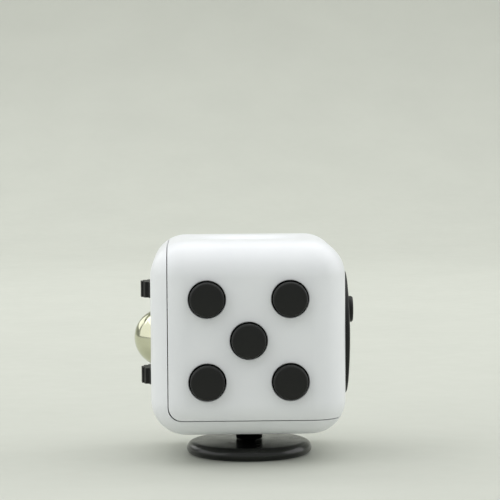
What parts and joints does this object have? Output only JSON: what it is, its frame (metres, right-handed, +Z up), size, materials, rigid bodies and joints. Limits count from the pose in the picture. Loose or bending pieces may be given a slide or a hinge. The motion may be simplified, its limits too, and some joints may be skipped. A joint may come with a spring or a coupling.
{
  "type": "fidget cube",
  "caption": "Palm-sized fidget cube with press buttons, thumb gears, a rolling ball, a spinning dial, a rocker switch, a thumb dish and a joystick foot.",
  "frame": {"origin": "on the surface that the joystick's cap stands on, under the middle of the outer box", "axes": "+Z up, out of the face with the thumb dish; -Y out of the face with the five buttons; +X out of the face with the dial"},
  "size_m": [0.0377, 0.0363, 0.0378],
  "materials": {
    "white_plastic": "satin moulded white",
    "black_plastic": "satin moulded black",
    "grey_plastic": "plain moulded grey",
    "silicone": "plain silicone",
    "ball_steel": "polished, with a warm tint",
    "steel": "plain turned steel",
    "spring_steel": "drawn wire and sheet"
  },
  "bodies": {
    "casing": {"front_shell": "white_plastic", "rear_shell": "white_plastic", "click_dome_upper_left": "spring_steel", "click_dome_center": "spring_steel", "click_dome_lower_right": "spring_steel", "silent_pad_upper_right": "silicone", "silent_pad_lower_left": "silicone", "switch_plate": "grey_plastic", "plate_screw_upper": "steel", "plate_screw_lower": "steel", "gear_shaft": "steel", "gear_bracket": "grey_plastic", "gear_click_spring": "spring_steel", "bracket_screw_upper": "steel", "bracket_screw_lower": "steel", "ball_guide": "grey_plastic", "ball_spring": "spring_steel", "guide_screw_upper": "steel", "guide_screw_lower": "steel", "rocker_pin": "steel", "rocker_frame": "grey_plastic", "rocker_plunger": "black_plastic", "rocker_spring": "spring_steel", "frame_screw_upper": "steel", "frame_screw_lower": "steel", "joystick_housing": "grey_plastic", "centering_plate": "steel", "centering_spring": "spring_steel", "housing_screw_front": "steel", "housing_screw_back": "steel"},
    "button_upper_left": {"button_upper_left": "black_plastic"},
    "button_upper_right": {"button_upper_right": "black_plastic"},
    "button_center": {"button_center": "black_plastic"},
    "button_lower_left": {"button_lower_left": "black_plastic"},
    "button_lower_right": {"button_lower_right": "black_plastic"},
    "gear_upper": {"gear_upper": "black_plastic"},
    "gear_middle": {"gear_middle": "black_plastic"},
    "gear_lower": {"gear_lower": "black_plastic"},
    "ball_carrier": {"ball_cup": "grey_plastic"},
    "ball": {"ball": "ball_steel"},
    "dial": {"dial": "black_plastic", "dial_washer": "spring_steel", "dial_screw": "steel"},
    "rocker": {"rocker": "black_plastic"},
    "gimbal": {"gimbal_ring": "black_plastic", "gimbal_pin": "steel"},
    "joystick": {"joystick_cap": "black_plastic", "joystick_stem": "black_plastic"}
  },
  "joints": [
    {"name": "button_upper_left_press", "type": "slide", "parent": "casing", "child": "button_upper_left", "axis": [0, 1, 0], "range_m": [0, 0.0008], "stiffness_N_per_m": 500, "springref_m": -0.0004, "deforming": ["click_dome_upper_left"]},
    {"name": "button_upper_right_press", "type": "slide", "parent": "casing", "child": "button_upper_right", "axis": [0, 1, 0], "range_m": [0, 0.0008], "stiffness_N_per_m": 500, "springref_m": -0.0004, "deforming": ["silent_pad_upper_right"]},
    {"name": "button_center_press", "type": "slide", "parent": "casing", "child": "button_center", "axis": [0, 1, 0], "range_m": [0, 0.0008], "stiffness_N_per_m": 500, "springref_m": -0.0004, "deforming": ["click_dome_center"]},
    {"name": "button_lower_left_press", "type": "slide", "parent": "casing", "child": "button_lower_left", "axis": [0, 1, 0], "range_m": [0, 0.0008], "stiffness_N_per_m": 500, "springref_m": -0.0004, "deforming": ["silent_pad_lower_left"]},
    {"name": "button_lower_right_press", "type": "slide", "parent": "casing", "child": "button_lower_right", "axis": [0, 1, 0], "range_m": [0, 0.0008], "stiffness_N_per_m": 500, "springref_m": -0.0004, "deforming": ["click_dome_lower_right"]},
    {"name": "gear_upper_spin", "type": "hinge", "parent": "casing", "child": "gear_upper", "pos_m": [-0.01285, 0.00435, 0.0286], "axis": [0, 0, 1], "continuous": true},
    {"name": "gear_middle_spin", "type": "hinge", "parent": "casing", "child": "gear_middle", "pos_m": [-0.01285, 0.00435, 0.021], "axis": [0, 0, 1], "continuous": true},
    {"name": "gear_lower_spin", "type": "hinge", "parent": "casing", "child": "gear_lower", "pos_m": [-0.01285, 0.00435, 0.0134], "axis": [0, 0, 1], "continuous": true},
    {"name": "ball_press", "type": "slide", "parent": "casing", "child": "ball_carrier", "axis": [1, 0, 0], "range_m": [0, 0.0006], "stiffness_N_per_m": 800, "springref_m": -0.0004, "deforming": ["ball_spring"]},
    {"name": "ball_roll", "type": "hinge", "parent": "ball_carrier", "child": "ball", "pos_m": [-0.01395, -0.00665, 0.0211], "axis": [0, 1, 0], "continuous": true},
    {"name": "dial_spin", "type": "hinge", "parent": "casing", "child": "dial", "pos_m": [0.01705, -0.00025, 0.02115], "axis": [1, 0, 0], "continuous": true},
    {"name": "rocker_flip", "type": "hinge", "parent": "casing", "child": "rocker", "pos_m": [0.00055, 0.01295, 0.02135], "axis": [1, 0, 0], "range_deg": [0, 16]},
    {"name": "joystick_tilt_x", "type": "hinge", "parent": "casing", "child": "gimbal", "pos_m": [0.00085, -0.00025, 0.0106], "axis": [1, 0, 0], "range_deg": [-8, 8], "stiffness_Nm_per_rad": 0.05},
    {"name": "joystick_tilt_y", "type": "hinge", "parent": "gimbal", "child": "joystick", "pos_m": [0.00085, -0.00025, 0.0106], "axis": [0, 1, 0], "range_deg": [-8, 8], "stiffness_Nm_per_rad": 0.05}
  ]
}
